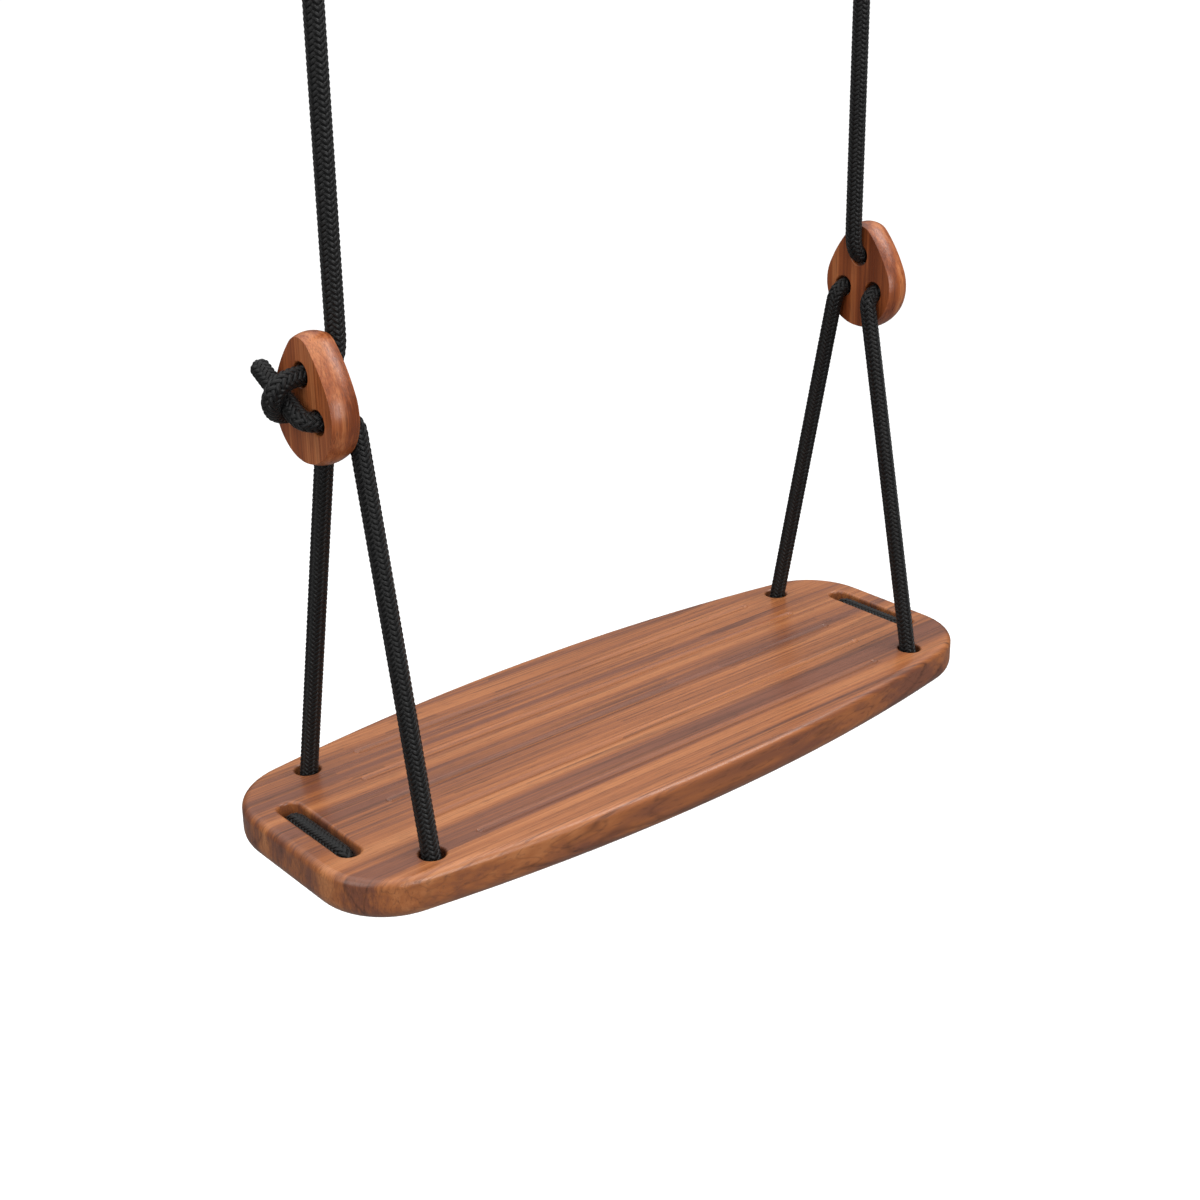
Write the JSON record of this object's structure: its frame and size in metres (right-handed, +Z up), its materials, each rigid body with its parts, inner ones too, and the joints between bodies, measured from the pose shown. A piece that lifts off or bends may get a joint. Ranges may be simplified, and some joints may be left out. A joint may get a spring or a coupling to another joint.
{
  "type": "board swing",
  "caption": "Wooden board swing seat on braided ropes, with egg-shaped wooden height adjusters and pivoting ceiling hangers.",
  "frame": {"origin": "middle of the rectangle of the four ceiling screw holes, on the ceiling face of the brackets", "axes": "+X along the board from the left rope to the right rope, +Y to the rear, +Z up to the ceiling"},
  "size_m": [0.633, 0.2468, 0.777],
  "materials": {
    "seat_walnut": "oiled walnut staves, satin",
    "adjuster_walnut": "oiled reddish walnut, satin",
    "black_rope": "braided rope, matt",
    "whipping_thread": "waxed thread",
    "zinc_steel": "zinc plated",
    "black_steel": "powder coated, satin black",
    "nylon": "moulded nylon"
  },
  "bodies": {
    "ceiling": {"left_bracket": "zinc_steel", "left_pivot_bolt": "zinc_steel", "left_washers": "zinc_steel", "left_locknut": "zinc_steel", "right_bracket": "zinc_steel", "right_pivot_bolt": "zinc_steel", "right_washers": "zinc_steel", "right_locknut": "zinc_steel"},
    "hangers": {"left_hanger": "black_steel", "left_bush": "nylon", "left_eye_pin": "zinc_steel", "left_pin_clip": "zinc_steel", "right_hanger": "black_steel", "right_bush": "nylon", "right_eye_pin": "zinc_steel", "right_pin_clip": "zinc_steel"},
    "left_line": {"left_thimble": "nylon", "left_rope_eye": "black_rope", "left_whipping": "whipping_thread", "left_rope_upper": "black_rope"},
    "right_line": {"right_thimble": "nylon", "right_rope_eye": "black_rope", "right_whipping": "whipping_thread", "right_rope_upper": "black_rope"},
    "left_adjuster_set": {"left_adjuster": "adjuster_walnut", "left_rope_cross": "black_rope", "left_rope_rear": "black_rope", "left_rope_front": "black_rope", "left_rope_tail": "black_rope"},
    "right_adjuster_set": {"right_adjuster": "adjuster_walnut", "right_rope_cross": "black_rope", "right_rope_rear": "black_rope", "right_rope_front": "black_rope", "right_rope_tail": "black_rope"},
    "seat": {"seat_board": "seat_walnut", "left_rope_under": "black_rope", "right_rope_under": "black_rope"}
  },
  "joints": [
    {"name": "swing", "type": "hinge", "parent": "ceiling", "child": "hangers", "pos_m": [0, 0, -0.023], "axis": [1, 0, 0], "range_deg": [-50, 50]},
    {"name": "sway", "type": "hinge", "parent": "hangers", "child": "left_line", "pos_m": [-0.2485, 0, -0.077], "axis": [0, 1, 0], "range_deg": [-8, 8]},
    {"name": "sway_right", "type": "hinge", "parent": "hangers", "child": "right_line", "pos_m": [0.2485, 0, -0.077], "axis": [0, 1, 0], "range_deg": [-8, 8]},
    {"name": "height", "type": "slide", "parent": "left_line", "child": "left_adjuster_set", "axis": [0, 0, 1], "range_m": [0, 0.15], "deforming": ["left_rope_upper"]},
    {"name": "height_right", "type": "slide", "parent": "right_line", "child": "right_adjuster_set", "axis": [0, 0, 1], "range_m": [0, 0.15], "deforming": ["right_rope_upper"]},
    {"name": "seat_level", "type": "hinge", "parent": "left_adjuster_set", "child": "seat", "pos_m": [-0.2485, 0, -0.752], "axis": [0, 1, 0], "range_deg": [-8, 8]}
  ],
  "couplings": [
    {"joint": "sway_right", "follows": "sway", "ratio": 1},
    {"joint": "seat_level", "follows": "sway", "ratio": -1},
    {"joint": "height_right", "follows": "height", "ratio": 1}
  ]
}
